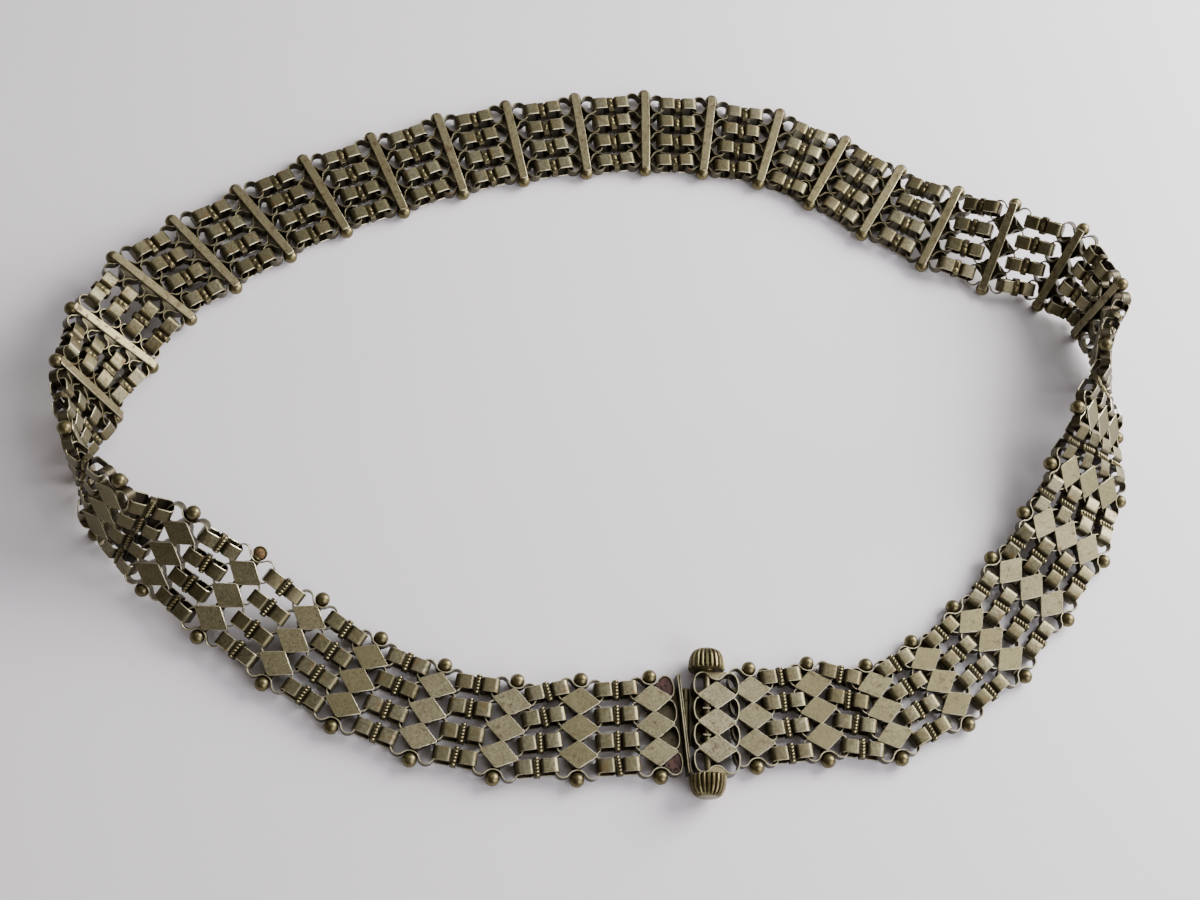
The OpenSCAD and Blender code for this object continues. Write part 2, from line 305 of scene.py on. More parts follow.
def all_round(upper: Sequence[Vector], lower: Sequence[Vector]) -> Line:
    """Returns a closed outline from two quarters, which both run from the x axis up
    to the y axis; the lower one is turned over."""
    line = list(upper) + mirrored(upper, -1, 1)[-2::-1]
    return line + mirrored(lower, -1, -1)[1:] + mirrored(lower, 1, -1)[-2:0:-1]


def half_side(loop: Eight, side: Side, sizes: Sizes, sign: int = 1) -> Line:
    """Returns one half of one side of a figure-8's middle line: from the middle of
    its end, over the shoulder, to its waist.

    Args:
        loop: the figure-8.
        side: the side that is drawn, as if upwards.
        sizes: the belt's sizes.
        sign: 1 for the outside, -1 for the inside.
    """
    end_x = (sizes.crossing_length - sizes.strip) / 2 - loop.end_radius
    drop = sign * (loop.middle - loop.waist)
    shoulder_y = side.reach - side.shoulder
    reach = loop.end_radius - side.shoulder
    shoulder = Vector((end_x + math.sqrt(reach ** 2 - (shoulder_y - drop) ** 2), shoulder_y))
    rise = shoulder.y - side.gap
    notch = (shoulder.x ** 2 + rise ** 2 - side.shoulder ** 2) / (2 * (side.shoulder + rise))
    notch_middle = Vector((0.0, side.gap + notch))
    tip = math.degrees(math.atan2(notch_middle.y - shoulder.y, shoulder.x))
    end_middle = Vector((end_x, drop))
    fan = math.degrees(math.atan2(shoulder.y - drop, shoulder.x - end_x))
    points = arc(end_middle, loop.end_radius, 0.0, fan, 3)
    points += arc(shoulder, side.shoulder, fan, 180 - tip, 7)[1:]
    points += arc(notch_middle, notch, -tip, -90.0, 5)[1:]
    return points


def eight_line(loop: Eight, sizes: Sizes) -> Line:
    """Returns the closed middle line of a figure-8 round its waist."""
    return all_round(half_side(loop, loop.outside, sizes), half_side(loop, loop.inside, sizes, -1))


def rounded(points: Sequence[tuple[float, float, float]], steps: int = 5) -> Line:
    """Returns an open line with its inner corners rounded.

    Args:
        points: corners as x, y and radius; the first and last stay sharp.
        steps: number of steps of each rounding.
    """
    corners = [Vector((x, y)) for x, y, _ in points]
    line = [corners[0]]
    for k in range(1, len(points) - 1):
        here, radius = corners[k], points[k][2]
        to_last = (corners[k - 1] - here).normalized()
        to_next = (corners[k + 1] - here).normalized()
        half = to_last.angle(to_next) / 2
        middle = here + (to_last + to_next).normalized() * radius / math.sin(half)
        start = here + to_last * radius / math.tan(half) - middle
        end = here + to_next * radius / math.tan(half) - middle
        sweep = start.angle_signed(end)
        first = math.atan2(start.y, start.x)
        line += [middle + radius * Vector((math.cos(first - sweep * j / steps),
                                           math.sin(first - sweep * j / steps)))
                 for j in range(steps + 1)]
    return line + [corners[-1]]


def offset(line: Sequence[Vector], amount: float) -> Line:
    """Returns a closed line moved outwards by amount along its normals."""
    pushed = []
    for k, here in enumerate(line):
        before = (here - line[k - 1]).normalized()
        after = (line[(k + 1) % len(line)] - here).normalized()
        normal = Vector((before.y + after.y, -before.x - after.x)).normalized()
        grow = 1.0 / max(0.5, normal.dot(Vector((after.y, -after.x))))
        pushed.append(here + normal * amount * grow)
    return pushed


# Mesh helpers.


def soften(bm: bmesh.types.BMesh, width: float, segments: int = 1, sharp: float = 50.0) -> None:
    """Rounds every edge that turns by more than the angle sharp, in degrees."""
    limit = math.radians(sharp)
    edges = [e for e in bm.edges if e.is_manifold and e.calc_face_angle(0.0) > limit]
    bmesh.ops.bevel(bm, geom=edges, offset=width, offset_type="OFFSET", affect="EDGES",
                    segments=segments, profile=0.5, material=-1, clamp_overlap=True)


def thicken(bm: bmesh.types.BMesh, faces: Sequence, height: float) -> None:
    """Extrudes flat faces upwards and turns all normals outwards."""
    grown = bmesh.ops.extrude_face_region(bm, geom=faces)
    raised = [g for g in grown["geom"] if isinstance(g, bmesh.types.BMVert)]
    bmesh.ops.translate(bm, verts=raised, vec=(0, 0, height))
    bmesh.ops.recalc_face_normals(bm, faces=bm.faces)


def dress_faces(bm: bmesh.types.BMesh, finish: Finish,
                depth: WearAndShade) -> None:
    """Gives every face its finish and its value of wear and painted shade: -1 on a rim lightened by
    rubbing and a painted highlight, up to 1 in a recess darkened by painted shade and patina.
    """
    bm.normal_update()
    layer = bm.faces.layers.float.get("age") or bm.faces.layers.float.new("age")
    for face in bm.faces:
        face.material_index = finish.value
        face[layer] = depth(face.calc_center_median(), face.normal)


def mesh_of(bm: bmesh.types.BMesh, name: str) -> Mesh:
    """Turns a bmesh into a mesh with outward normals and frees it."""
    bmesh.ops.recalc_face_normals(bm, faces=bm.faces)
    mesh = bpy.data.meshes.new(name)
    bm.to_mesh(mesh)
    bm.free()
    return mesh


def band_mesh(line: Sequence[Vector], thick: float, width: float, name: str, finish: Finish,
              depth: WearAndShade, rim: float = 0.24) -> Mesh:
    """Makes a closed band of strip round a middle line, on edge.

    Args:
        line: closed middle line, counter-clockwise.
        thick: thickness of the strip.
        width: width of the strip, along z.
        name: name of the mesh.
        finish: finish of the mesh.
        depth: gives the value of wear and painted shade from a face's middle and its normal.
        rim: share of the thickness that the rounding of each edge takes.
    """
    bm = bmesh.new()
    edges = []
    for outline in (offset(line, thick / 2), offset(line, -thick / 2)):
        verts = [bm.verts.new((p.x, p.y, -width / 2)) for p in outline]
        edges += [bm.edges.new((verts[k - 1], verts[k])) for k in range(len(verts))]
    thicken(bm, bmesh.ops.bridge_loops(bm, edges=edges)["faces"], width)
    soften(bm, thick * rim, 1, 70.0)
    dress_faces(bm, finish, depth)
    return mesh_of(bm, name)


def plate_mesh(outline: Sequence[tuple[float, float]], thick: float, edge: float, name: str,
               finish: Finish, depth: WearAndShade) -> Mesh:
    """Makes a flat plate with its lower face at z 0.

    Args:
        outline: corners in order.
        thick: thickness of the plate.
        edge: width of the rounded rim.
        name, finish, depth: as for band_mesh.
    """
    bm = bmesh.new()
    face = bm.faces.new([bm.verts.new((x, y, 0.0)) for x, y in outline])
    thicken(bm, [face], thick)
    soften(bm, edge, 1, 60.0)
    dress_faces(bm, finish, depth)
    return mesh_of(bm, name)


def ball_mesh(radius: float, around: int, rings: int, name: str, top: float = 0.15,
              rest: float = 0.15) -> Mesh:
    """Makes a brass ball; top and rest are the values of wear and painted shade of its top and of its
    other faces.
    """
    bm = bmesh.new()
    bmesh.ops.create_uvsphere(bm, u_segments=around, v_segments=rings, radius=radius)
    dress_faces(bm, Finish.BRASS, lambda at, normal: top if normal.z > 0.6 else rest)
    return mesh_of(bm, name)


class Assembly:
    """Joins shaped meshes, each with a place of its own, into one piece."""

    def __init__(self) -> None:
        """Starts an empty piece; tone is how pale the metal added next has stayed."""
        self.bm = bmesh.new()
        self.tone = 0.5

    def add(self, mesh: Mesh, place: Matrix) -> None:
        """Adds a copy of a mesh at a place in millimetres, facing outwards."""
        first, first_face = len(self.bm.verts), len(self.bm.faces)
        self.bm.from_mesh(mesh)
        layers = self.bm.faces.layers.float
        tone = layers.get("tone") or layers.new("tone")
        self.bm.verts.ensure_lookup_table()
        self.bm.faces.ensure_lookup_table()
        bmesh.ops.transform(self.bm, matrix=place, verts=self.bm.verts[first:])
        faces = self.bm.faces[first_face:]
        if place.determinant() < 0:
            bmesh.ops.reverse_faces(self.bm, faces=faces)
        for face in faces:
            face[tone] = self.tone

    def finish(self, name: str, dress: "Wardrobe") -> bpy.types.Object:
        """Makes the piece's object in metres, with its place in its mesh."""
        mesh = bpy.data.meshes.new(name)
        self.bm.to_mesh(mesh)
        self.bm.free()
        mesh.transform(Matrix.Scale(MM, 4))
        mesh.shade_smooth()
        mesh.set_sharp_from_angle(angle=math.radians(SHARP))
        for material in dress.slots:
            mesh.materials.append(material)
        return in_scene(name, mesh)


# Materials.


def linear(code: str) -> tuple[float, float, float, float]:
    """Turns an sRGB hex colour into linear values with full alpha."""
    parts = [int(code[k:k + 2], 16) / 255 for k in (1, 3, 5)]
    values = [p / 12.92 if p <= 0.04045 else ((p + 0.055) / 1.055) ** 2.4 for p in parts]
    return (values[0], values[1], values[2], 1.0)


@dataclass(frozen=True)
class Metal:
    """One finish of the belt's aged metal.

    pale and dull are the sRGB colours of the palest and the dullest pieces, shade
    that of the mottling, worn_and_highlight that of rims (wear plus a painted
    highlight), stain that of brown spots and dirt_and_shade that of recesses
    (painted shade plus dark patina).
    mottle, blotch and pit are the sizes of the variation, the stains and the
    pits in millimetres, and stained is the share of the surface with stains.
    """

    name: str
    pale: str
    dull: str
    shade: str
    # Colour of rims: wear plus a painted highlight.
    worn_and_highlight: str
    stain: str
    # Colour of recesses: painted shade plus dark patina.
    dirt_and_shade: str
    roughness: float
    mottle: float
    blotch: float
    pit: float
    stained: float


# Rolled nickel silver strip: satin, olive grey, with painted shade plus brown patina in the hollows
# and a painted highlight on rims lightened by wear.
STRIP = Metal("nickel_silver_strip_rolled", "#858066", "#655f45", "#4d4730", "#bdb594", "#57431f",
              "#241d13", 0.34, 0.9, 3.2, 0.30, 0.10)
# Filed nickel silver plate: matte and lighter, with fine pits.
PLATE = Metal("nickel_silver_plate_filed", "#a0987a", "#736d4e", "#544e37", "#d2caab", "#4e4129",
              "#2e2618", 0.42, 0.6, 2.2, 0.32, 0.08)
# Hammered nickel silver bar: worn against cloth, with brown stains.
BAR = Metal("nickel_silver_bar_hammered", "#8d8668", "#787152", "#5c5439", "#aca482", "#46341b",
            "#281e12", 0.36, 1.1, 3.0, 0.40, 0.14)
# Cast brass beads and balls: yellower, with painted shade plus patina between the beads.
BRASS = Metal("brass_cast_aged", "#8a805a", "#6e6645", "#524a30", "#c2b88f", "#4a3c20",
              "#1f180d", 0.30, 0.8, 1.6, 0.3, 0.0)


class NodeTable:
    """Adds shader nodes to a material's tree."""

    def __init__(self, name: str) -> None:
        """Makes a material with an empty tree and a Principled shader."""
        self.material = bpy.data.materials.new(name)
        self.material.use_nodes = True
        self.tree = self.material.node_tree
        self.tree.nodes.clear()
        self.out = self.add("ShaderNodeOutputMaterial")
        self.shader = self.add("ShaderNodeBsdfPrincipled")
        self.place = (self.add("ShaderNodeTexCoord"), "Object")
        self.tree.links.new(self.shader.outputs["BSDF"], self.out.inputs["Surface"])

    def add(self, kind: str, inputs: Optional[dict] = None, **settings: object) -> bpy.types.Node:
        """Adds one node with its settings, input values and input links.

        Args:
            kind: type name of the node.
            inputs: socket name or number to a value, or to a node and its output.
            settings: attributes of the node.
        """
        node = self.tree.nodes.new(kind)
        for key, value in settings.items():
            setattr(node, key, value)
        for key, value in (inputs or {}).items():
            if isinstance(value, tuple) and value and isinstance(value[0], bpy.types.Node):
                self.tree.links.new(value[0].outputs[value[1]], node.inputs[key])
            else:
                node.inputs[key].default_value = value
        return node

    def feed(self, source: tuple, socket: str) -> None:
        """Links a node's output to an input of the shader."""
        self.tree.links.new(source[0].outputs[source[1]], self.shader.inputs[socket])

    def noise(self, size: float, detail: float, roughness: float = 0.5) -> tuple:
        """Returns a link to noise of a size in millimetres."""
        return (self.add("ShaderNodeTexNoise", {"Vector": self.place, "Scale": 1 / (size * MM),
                                                "Detail": detail, "Roughness": roughness}), 0)

    def dots(self, size: float) -> tuple:
        """Returns a link that falls to 0 at scattered points, a size in millimetres apart."""
        return (self.add("ShaderNodeTexVoronoi", {"Vector": self.place, "Scale": 1 / (size * MM)}), 0)

    def bump(self, height: tuple, strength: float, depth: float, invert: bool = True) -> None:
        """Roughens the surface to a depth in millimetres; the height goes inwards if inverted."""
        node = self.add("ShaderNodeBump", {"Height": height, "Strength": strength,
                                           "Distance": depth * MM}, invert=invert)
        self.feed((node, "Normal"), "Normal")

    def ramp(self, source: tuple, low: float, high: float) -> tuple:
        """Returns a link that rises from 0 to 1 between two values."""
        node = self.add("ShaderNodeMapRange", {0: source, 1: low, 2: high},
                        interpolation_type="SMOOTHSTEP")
        return (node, 0)

    def math(self, operation: str, a: object, b: object) -> tuple:
        """Returns a link to a clamped sum, product or the like."""
        node = self.add("ShaderNodeMath", {0: a, 1: b}, operation=operation, use_clamp=True)
        return (node, 0)

    def mix(self, factor: tuple, a: object, b: object) -> tuple:
        """Returns a link to a colour mixed from a to b."""
        node = self.add("ShaderNodeMix", {0: factor, 6: a, 7: b}, data_type="RGBA")
        return (node, 2)


def metal_material(look: Metal) -> bpy.types.Material:
    """Builds one of the aged metals: stains, pits, rims lightened by wear and a painted highlight, and
    recesses darkened by painted shade and patina.

    The face attribute of wear and painted shade is 1 in a recess, which takes
    painted shade plus patina, 0 on an open face and -1 on a rim, which takes wear
    plus a painted highlight, and tone is 1 on the palest pieces and 0 on the dullest.
    """
    t = NodeTable(look.name)
    age = (t.add("ShaderNodeAttribute", attribute_name="age", attribute_type="GEOMETRY"), "Fac")
    tone = (t.add("ShaderNodeAttribute", attribute_name="tone", attribute_type="GEOMETRY"), "Fac")
    # Rims: wear plus a painted highlight.
    rubbed_and_highlit = t.math("MULTIPLY", age, -1.0)
    # Recesses: painted shade plus patina.
    shade_and_patina_mask = t.math("MAXIMUM", age, 0.0)
    mottle = t.ramp(t.noise(look.mottle, 4.0, 0.6), 0.34, 0.66)
    edge = 0.62 - look.stained * 0.45
    stained = t.math("MULTIPLY", t.ramp(t.noise(look.blotch, 5.0, 0.6), edge, edge + 0.08), 0.8)
    pitted = t.math("MULTIPLY", t.math("SUBTRACT", 1.0, t.ramp(t.dots(3 * look.pit), 0.12, 0.26)),
                    t.ramp(t.noise(look.pit * 7, 2.0, 0.6), 0.46, 0.56))
    haze = t.ramp(t.noise(11.0, 2.0, 0.6), 0.35, 0.65)
    grain = t.ramp(t.noise(0.28, 2.0, 0.6), 0.3, 0.7)
    open_face = t.mix(tone, linear(look.dull), linear(look.pale))
    light = t.math("ADD", t.math("MULTIPLY", mottle, 0.45), t.math("MULTIPLY", grain, 0.3))
    light = t.math("ADD", light, t.math("MULTIPLY", haze, 0.15))
    colour = t.mix(t.math("SUBTRACT", 0.9, light), open_face, linear(look.shade))
    # Mix towards the rim colour: wear plus a painted highlight.
    colour = t.mix(rubbed_and_highlit, colour, linear(look.worn_and_highlight))
    spots = t.math("MAXIMUM", stained, t.math("MULTIPLY", pitted, 0.85))
    colour = t.mix(spots, colour, linear(look.stain))
    # Mix towards the recess colour: painted shade plus patina.
    colour = t.mix(shade_and_patina_mask, colour, linear(look.dirt_and_shade))
    t.feed(colour, "Base Color")
    dull = t.math("MAXIMUM", t.math("MULTIPLY", shade_and_patina_mask, 0.8), stained)
    t.feed((t.add("ShaderNodeMapRange", {0: dull, 3: 0.92, 4: 0.5}), 0), "Metallic")
    smear = t.math("MULTIPLY_ADD", mottle, 0.10)
    smear[0].inputs[2].default_value = look.roughness
    rough = t.math("MAXIMUM", smear, t.math("MULTIPLY", dull, look.roughness + 0.3))
    t.feed(rough, "Roughness")
    uneven = t.math("MULTIPLY", t.noise(2.4, 2.0, 0.6), 0.6)
    low = t.math("ADD", t.math("MULTIPLY", pitted, 0.5), uneven)
    t.bump(low, 0.6, 0.10)
    return t.material


def resin_material() -> bpy.types.Material:
    """Builds the old resin: reddish brown, dull, full of small dark pits."""
    t = NodeTable("shellac_resin_aged")
    cloud = t.noise(1.2, 4.0)
    hole = t.math("SUBTRACT", 1.0, t.ramp(t.dots(1.0), 0.26, 0.40))
    colour = t.mix(t.ramp(cloud, 0.35, 0.7), linear("#48312a"), linear("#2b1d18"))
    colour = t.mix(hole, colour, linear("#120907"))
    t.feed(colour, "Base Color")
    t.shader.inputs["Roughness"].default_value = 0.75
    t.shader.inputs["Specular IOR Level"].default_value = 0.25
    t.bump(t.math("MAXIMUM", hole, t.math("MULTIPLY", cloud, 0.4)), 0.8, 0.3)
    return t.material


def rust_material() -> bpy.types.Material:
    """Builds the dry rust of a broken ball: ochre brown, matte and grainy."""
    t = NodeTable("iron_rust_dry")
    grain = t.noise(0.7, 5.0)
    colour = t.mix(t.ramp(grain, 0.35, 0.65), linear("#7d6238"), linear("#4d3b22"))
    t.feed(colour, "Base Color")
    t.shader.inputs["Roughness"].default_value = 0.9
    t.bump(grain, 0.8, 0.15, invert=False)
    return t.material


class Wardrobe:
    """All finishes of the belt, one slot for each value of Finish."""

    def __init__(self) -> None:
        """Builds the materials once."""
        self.slots = [metal_material(look) for look in (STRIP, PLATE, BAR, BRASS)]
        self.slots += [resin_material(), rust_material()]


# The belt's own pieces.


@dataclass
class CrossingShop:
    """Makes crossings: four figure-8 strips, three diamond plates, a bar and balls."""

    sizes: Sizes
    chance: random.Random
    shapes: dict = field(default_factory=dict)
    palest: float = 0.75
    solder_in: float = 1.75

    def __post_init__(self) -> None:
        """Shapes the parts that every crossing repeats."""
        s = self.sizes
        for kind, loop, height, depth in (
                ("inner", s.inner_eight, s.wall, self.strip_wear_and_shade),
                ("outer", s.outer_eight, s.wall, self.strip_wear_and_shade),
                ("tall_inner", s.inner_eight, s.tall_wall, self.tall_wear_and_shade),
                ("tall_outer", s.closing_eight, s.tall_wall, self.tall_wear_and_shade)):
            self.shapes[kind] = band_mesh(eight_line(loop, s), s.strip, height, "strip_" + kind,
                                          Finish.STRIP, depth)
        long, wide = s.plate_length / 2, s.plate_width / 2
        neck, tip = 0.4, 0.25
        diamond = ((-long, -tip), (-neck, -wide), (neck, -wide), (long, -tip), (long, tip),
                   (neck, wide), (-neck, wide), (-long, tip))
        self.shapes["plate"] = plate_mesh(diamond, s.plate_thick, 0.12, "diamond", Finish.PLATE,
                                          self.plate_wear_and_shade)
        half, end = s.bar_width / 2, s.bar_length / 2
        cut, taper = 0.35, 0.18
        rim, flat, side = half - taper, half - taper - cut, end - cut
        bar = ((-rim, -side), (-flat, -end), (flat, -end), (rim, -side), (half, 0.0),
               (rim, side), (flat, end), (-flat, end), (-rim, side), (-half, 0.0))
        self.shapes["bar"] = plate_mesh(bar, s.bar_thick, 0.22, "bar", Finish.BAR,
                                        lambda at, normal: self.plate_wear_and_shade(at, -normal))
        self.shapes["ball"] = ball_mesh(s.ball_radius, 20, 10, "ball")
        self.shapes["solder"] = ball_mesh(1.0, 10, 5, "solder")
        self.shapes["shell"], self.shapes["rust"] = self.broken_ball()

    @staticmethod
    def plate_wear_and_shade(at: Vector, normal: Vector) -> float:
        """Returns the wear and painted shade of a plate: open top, rims lightened by wear and a
        painted highlight, sides and back darkened by painted shade and patina.
        """
        return 0.0 if normal.z > 0.9 else -0.9 if normal.z > 0.3 else 0.6

    @staticmethod
    def strip_wear_and_shade(at: Vector, normal: Vector) -> float:
        """Returns the wear and painted shade of a strip on edge: a front rim lightened by wear and a
        painted highlight, walls darkened by painted shade and patina.
        """
        return -0.7 if normal.z > 0.3 else 0.0 if normal.z < -0.3 else 0.6

    @staticmethod
    def tall_wear_and_shade(at: Vector, normal: Vector) -> float:
        """Returns the wear and painted shade of a tall strip on edge: a front rim lightened by wear
        and a painted highlight, the rest darkened by painted shade and patina.
        """
        return -0.9 if normal.z > 0.3 else 0.65

    def broken_ball(self) -> tuple[Mesh, Mesh]:
        """Makes the ball that has lost its top: an open shell and the rust in it."""
        radius = self.sizes.ball_radius
        bm = bmesh.new()
        bmesh.ops.create_uvsphere(bm, u_segments=20, v_segments=10, radius=radius)
        bmesh.ops.bisect_plane(bm, geom=bm.verts[:] + bm.edges[:] + bm.faces[:],
                               plane_co=(0, 0, radius * 0.35), plane_no=(0, 0, 1), clear_outer=True)
        bmesh.ops.solidify(bm, geom=bm.faces[:], thickness=0.3)
        dress_faces(bm, Finish.BRASS, lambda at, normal: 0.3)
        shell = mesh_of(bm, "ball_shell")
        bm = bmesh.new()
        bmesh.ops.create_uvsphere(bm, u_segments=16, v_segments=8, radius=radius * 0.86)
        bmesh.ops.scale(bm, vec=(1, 1, 0.62), verts=bm.verts)
        dress_faces(bm, Finish.RUST, lambda at, normal: 0.0)
        return shell, mesh_of(bm, "rust")

    def nudge(self, turn: float, shift: float) -> Matrix:
        """Returns a small random turn in degrees and shift, as of hand work."""
        r = self.chance
        x, y, z = (r.uniform(-turn, turn) for _ in range(3))
        place = moved(*(r.uniform(-shift, shift) for _ in range(3)))
        return place @ turned(z, "Z") @ turned(0.6 * y, "Y") @ turned(0.6 * x, "X")

    def strips(self, piece: Assembly, place: Matrix, prefix: str = "") -> None:
        """Adds the four figure-8 strips."""
        for side in (1.0, -1.0):
            for kind, loop in (("inner", self.sizes.inner_eight), ("outer", self.sizes.outer_eight)):
                at = moved(0, loop.waist, 0) @ self.nudge(0.8, 0.04)
                piece.add(self.shapes[prefix + kind], place @ flipped(side) @ at)

    def plates(self, piece: Assembly, place: Matrix) -> None:
        """Adds the three diamond plates, their lower faces at the place's z 0."""
        for k in (-1, 0, 1):
            at = moved(0, k * self.sizes.plate_width, 0) @ self.nudge(1.6, 0.05)
            piece.add(self.shapes["plate"], place @ at)

    def back_bar(self, piece: Assembly, place: Matrix) -> None:
        """Adds the bar with its upper face at the place's z 0."""
        down = moved(0, 0, -self.sizes.bar_thick) @ self.nudge(0.8, 0.04)
        piece.add(self.shapes["bar"], place @ down)

    def add(self, piece: Assembly, place: Matrix, broken: bool = False) -> None:
        """Adds a whole crossing at a place, with its upper ball broken open or whole."""
        s = self.sizes
        piece.tone = self.palest * self.chance.random()
        self.strips(piece, place)
        self.plates(piece, place @ moved(0, 0, s.half_wall))
        self.back_bar(piece, place @ moved(0, 0, -s.half_wall))
        for side in (-1, 1):
            at = place @ moved(0, side * s.ball_offset, 0) @ self.nudge(20, 0.08)
            for kind in ("shell", "rust") if broken and side > 0 else ("ball",):
                piece.add(self.shapes[kind], at)
            joint = moved(0, side * (s.ball_offset - self.solder_in), -0.2)
            piece.add(self.shapes["solder"], place @ joint @ Matrix.Diagonal((1.5, 0.7, 1.2, 1.0)))


@dataclass
class LinkShop:
    """Makes bow links: a pinched band of strip and a beaded collar round it."""

    sizes: Sizes
    chance: random.Random
    shapes: dict = field(default_factory=dict)
    collar_width: float = 6.2
    collar_height: float = 3.3
    collar_length: float = 1.9
    collar_sheet: float = 0.5
    bead: float = 0.66
    beads_across: int = 6
    solder_reach: float = 2.7

    def __post_init__(self) -> None:
        """Shapes the band, the collar and its bead."""
        s = self.sizes
        end, top = s.link_length / 2 - s.strip / 2, s.link_height / 2 - s.strip / 2
        quarter = rounded(((0.0, 0.75, 0.0), (0.95, 0.75, 0.4), (1.7, top, 0.8),
                           (end, top, 1.5), (end, 0.0, 0.0)))[::-1]
        line = all_round(quarter, quarter)
        band = band_mesh(line, s.strip, s.link_width, "bow", Finish.STRIP, self.band_wear_and_shade, 0.42)
        for face in band.polygons:
            if abs(face.center.x) < self.solder_reach and face.center.y < 0 and face.normal.y < 0:
                face.material_index = Finish.BRASS.value
        band.transform(turned(90, "X"))
        self.shapes["band"] = band
        self.shapes["collar"] = self.collar_mesh()
        # Bead tops lightened by wear and a painted highlight, the rest darkened a little by painted
        # shade.
        self.shapes["bead"] = ball_mesh(self.bead, 8, 5, "bead", -0.4, 0.1)

    @staticmethod
    def band_wear_and_shade(at: Vector, normal: Vector) -> float:
        """Returns the wear and painted shade of a band: lips lightened by wear and a painted
        highlight, painted shade plus patina inside the loops and towards the pinched middle.
        """
        if abs(normal.z) > 0.3:
            return -0.9 if abs(at.x) > 1.8 else 0.4
        neck = min(1.0, max(0.0, (2.2 - abs(at.x)) / 1.2))
        lobe = Vector((math.copysign(4.6, at.x), 0.0, 0.0))
        inside = 0.75 if normal.dot(at - lobe) < 0.0 else 0.0
        return min(1.0, 0.8 * neck + inside)

    def collar_mesh(self) -> Mesh:
        """Makes the collar: a flat ring with round corners."""
        w, h = ((size - self.collar_sheet) / 2 for size in (self.collar_width, self.collar_height))
        quarter = rounded(((w, 0.0, 0.0), (w, h, 0.8), (0.0, h, 0.0)), 4)
        # The whole collar is darkened by painted shade round the beads plus patina.
        mesh = band_mesh(all_round(quarter, quarter), self.collar_sheet, self.collar_length, "collar",
                         Finish.BRASS, lambda at, normal: 0.6)
        mesh.transform(turned(90, "Z") @ turned(90, "X"))
        return mesh

    def add(self, piece: Assembly, place: Matrix) -> None:
        """Adds a whole bow link at a place: band, collar, beads and two solder drops."""
        r = self.chance
        piece.tone = r.random()
        piece.add(self.shapes["band"], place)
        lean = turned(r.uniform(-5, 5), "Z")
        at = place @ moved(r.uniform(-0.15, 0.15), 0, 0) @ lean
        piece.add(self.shapes["collar"], at)
        step = self.collar_width / self.beads_across
        for k in range(self.beads_across):
            y = (k - (self.beads_across - 1) / 2) * step
            drop = 0.55 * (2 * y / self.collar_width) ** 4
            twist = turned(r.uniform(12, 30), "Z")
            top = moved(0, y, self.collar_height / 2 - drop)
            piece.add(self.shapes["bead"], at @ top @ twist @ Matrix.Diagonal((1.15, 0.8, 0.9, 1.0)))
        for y in (r.uniform(-1.6, -0.3), r.uniform(0.3, 1.6)):
            under = moved(r.uniform(-0.2, 0.2), y, -self.collar_height / 2)
            size = (r.uniform(1.0, 1.5), r.uniform(0.9, 2.2), r.uniform(0.5, 0.9), 1.0)
            piece.add(self.shapes["bead"], at @ under @ Matrix.Diagonal(size))


